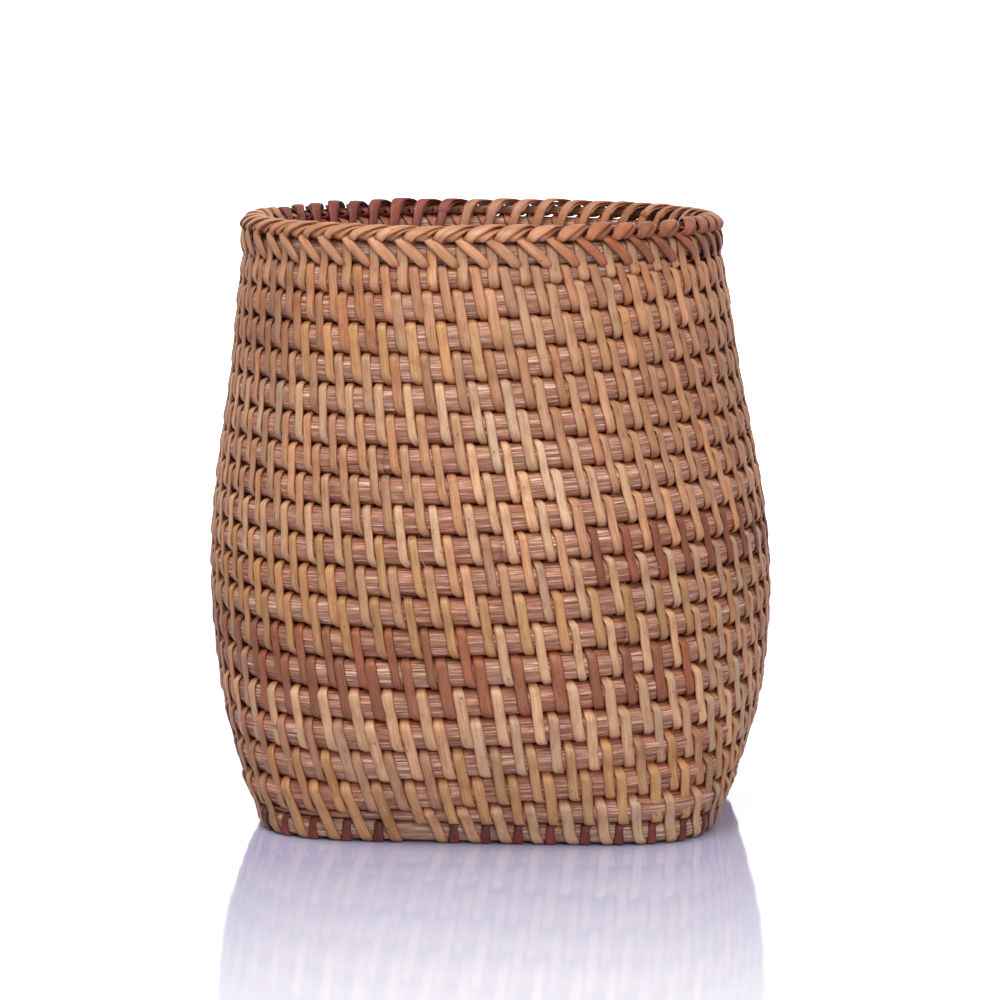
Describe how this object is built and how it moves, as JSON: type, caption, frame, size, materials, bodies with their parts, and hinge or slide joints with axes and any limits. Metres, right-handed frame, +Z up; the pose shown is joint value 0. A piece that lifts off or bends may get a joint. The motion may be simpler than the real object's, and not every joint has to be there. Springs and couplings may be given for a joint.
{
  "type": "coiled rattan wastebasket",
  "caption": "Small open-topped wastebasket of coiled rattan rows bound with flat peel stitches, rounded-square foot, bulging body and plaited rim.",
  "frame": {"origin": "on the floor under the middle of the belly", "axes": "+Z up, -Y towards the front, +X to the right seen from the front"},
  "size_m": [0.1885, 0.1884, 0.1975],
  "materials": {
    "core": "fibrous split rattan core, matt with a faint sheen",
    "peel": "flat rattan peel, satin, tan with darker and golden strands",
    "dark_peel": "flat rattan peel stained dark red-brown, satin"
  },
  "bodies": {
    "root": {"base_binding_1": "peel", "base_binding_2": "peel", "base_binding_3": "peel", "base_binding_4": "peel", "base_binding_5": "peel", "base_binding_6": "peel", "base_binding_7": "peel", "base_coil": "core", "foot_binding": "dark_peel", "foot_ring_core": "core", "rim_legs": "peel", "rim_plait_lower": "peel", "rim_plait_upper": "peel", "rim_ring_core": "core", "row_binding_01": "peel", "row_binding_02": "peel", "row_binding_03": "peel", "row_binding_04": "peel", "row_binding_05": "peel", "row_binding_06": "peel", "row_binding_07": "peel", "row_binding_08": "peel", "row_binding_09": "peel", "row_binding_10": "peel", "row_binding_11": "peel", "row_binding_12": "peel", "row_binding_13": "peel", "row_binding_14": "peel", "row_binding_15": "peel", "row_binding_16": "peel", "row_binding_17": "peel", "row_binding_18": "peel", "row_binding_19": "peel", "row_binding_20": "peel", "wall_coil_length_1": "core", "wall_coil_length_2": "core", "wall_coil_length_3": "core", "wall_coil_length_4": "core", "wall_coil_length_5": "core", "wall_coil_length_6": "core", "wall_coil_lower_end": "core", "wall_coil_upper_end": "core"}
  },
  "joints": []
}
